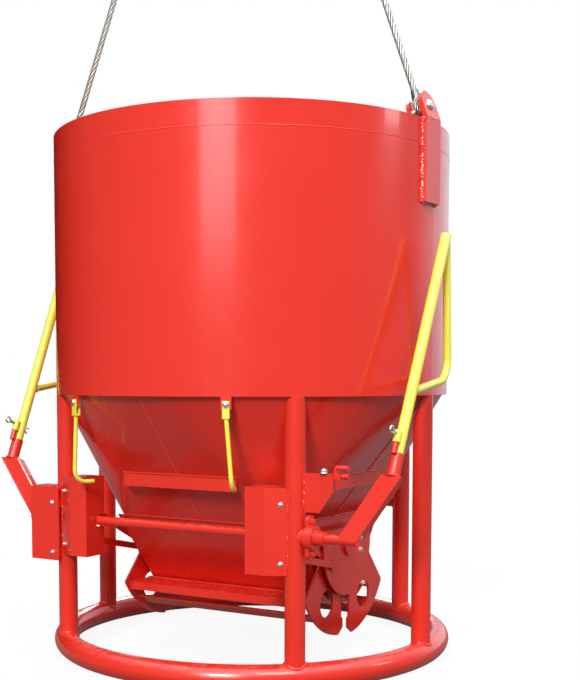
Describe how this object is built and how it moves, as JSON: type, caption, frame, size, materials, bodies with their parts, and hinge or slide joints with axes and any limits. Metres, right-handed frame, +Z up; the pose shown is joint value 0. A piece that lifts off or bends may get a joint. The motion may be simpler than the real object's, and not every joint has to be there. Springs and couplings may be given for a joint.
{
  "type": "concrete bucket",
  "caption": "Round concrete bucket on a ring frame: drum, square hopper and a double clamshell gate that two side levers open through a cross shaft and links.",
  "frame": {"origin": "centre of the base ring on the ground under the drum axis", "axes": "+Z up, +X to the right along the cross shaft seen from the front, +Y to the rear"},
  "size_m": [1.7179, 1.5368, 2.6154],
  "materials": {
    "red_paint": "gloss",
    "yellow_paint": "gloss",
    "zinc": "satin",
    "wire_rope": "satin"
  },
  "bodies": {
    "frame": {"base_ring": "red_paint", "leg_front_left": "red_paint", "leg_front_right": "red_paint", "leg_side_left": "red_paint", "leg_side_right": "red_paint", "leg_rear_left": "red_paint", "leg_rear_right": "red_paint", "drum_shell": "red_paint", "rim_band": "red_paint", "hopper": "red_paint", "hopper_stiffeners": "red_paint", "chute_front_plate": "red_paint", "chute_rear_plate": "red_paint", "chute_side_left": "red_paint", "chute_side_right": "red_paint", "rear_tie_bar": "red_paint", "shaft_bush_left": "red_paint", "shaft_bush_right": "red_paint", "bearing_flange_left": "red_paint", "bearing_flange_right": "red_paint", "crank_cover_left": "red_paint", "crank_cover_right": "red_paint", "outer_cover_left": "red_paint", "cover_mounts": "red_paint", "cover_bolts": "zinc", "lock_bracket": "red_paint", "lock_clamp": "red_paint", "hook_tabs": "red_paint", "hook_bolts": "zinc", "lug_outer_left": "red_paint", "lug_outer_right": "red_paint", "lug_inner_left": "red_paint", "lug_inner_right": "red_paint", "lug_bolts": "zinc", "gate_axles": "red_paint", "sling_left": "wire_rope", "sling_right": "wire_rope", "sling_fittings": "zinc"},
    "lever_shaft": {"cross_shaft": "red_paint", "crank_left": "red_paint", "crank_right": "red_paint", "lever_arm_left": "red_paint", "lever_arm_right": "red_paint", "lever_stub_left": "red_paint", "lever_stub_right": "red_paint", "handle_left": "yellow_paint", "handle_right": "yellow_paint", "linchpins": "zinc"},
    "gate_front": {"gate_front_shell": "red_paint", "gate_front_plate_left": "red_paint", "gate_front_plate_right": "red_paint", "gate_front_tie": "red_paint"},
    "gate_rear": {"gate_rear_shell": "red_paint", "gate_rear_plate_left": "red_paint", "gate_rear_plate_right": "red_paint", "gate_rear_tie": "red_paint"},
    "front_links": {"front_links": "red_paint"},
    "rear_links": {"rear_links": "red_paint"},
    "hook_left": {"hook_left": "yellow_paint"},
    "hook_right": {"hook_right": "yellow_paint"}
  },
  "joints": [
    {"name": "lever_turn", "type": "hinge", "parent": "frame", "child": "lever_shaft", "pos_m": [0, -0.52584, 0.516], "axis": [1, 0, 0], "range_deg": [0, 45]},
    {"name": "gate_front_turn", "type": "hinge", "parent": "frame", "child": "gate_front", "pos_m": [0, 0, 0.42], "axis": [1, 0, 0], "range_deg": [-28, 0]},
    {"name": "gate_rear_turn", "type": "hinge", "parent": "frame", "child": "gate_rear", "pos_m": [0, 0, 0.42], "axis": [1, 0, 0], "range_deg": [0, 28]},
    {"name": "front_link_turn", "type": "hinge", "parent": "gate_front", "child": "front_links", "pos_m": [0, -0.13, 0.37], "axis": [1, 0, 0], "range_deg": [0, 39]},
    {"name": "rear_link_turn", "type": "hinge", "parent": "gate_rear", "child": "rear_links", "pos_m": [0, -0.13, 0.36], "axis": [1, 0, 0], "range_deg": [-36, 0]},
    {"name": "hook_left_swing", "type": "hinge", "parent": "frame", "child": "hook_left", "pos_m": [-0.31591, -0.67746, 0.954], "axis": [-0.4226, -0.9063, 0], "range_deg": [-4, 30]},
    {"name": "hook_right_swing", "type": "hinge", "parent": "frame", "child": "hook_right", "pos_m": [0.31591, -0.67746, 0.954], "axis": [0.4226, -0.9063, 0], "range_deg": [-30, 4]}
  ],
  "couplings": [
    {"joint": "gate_front_turn", "follows": "lever_turn", "ratio": -0.62},
    {"joint": "gate_rear_turn", "follows": "lever_turn", "ratio": 0.62},
    {"joint": "front_link_turn", "follows": "lever_turn", "ratio": 0.845},
    {"joint": "rear_link_turn", "follows": "lever_turn", "ratio": -0.77}
  ]
}
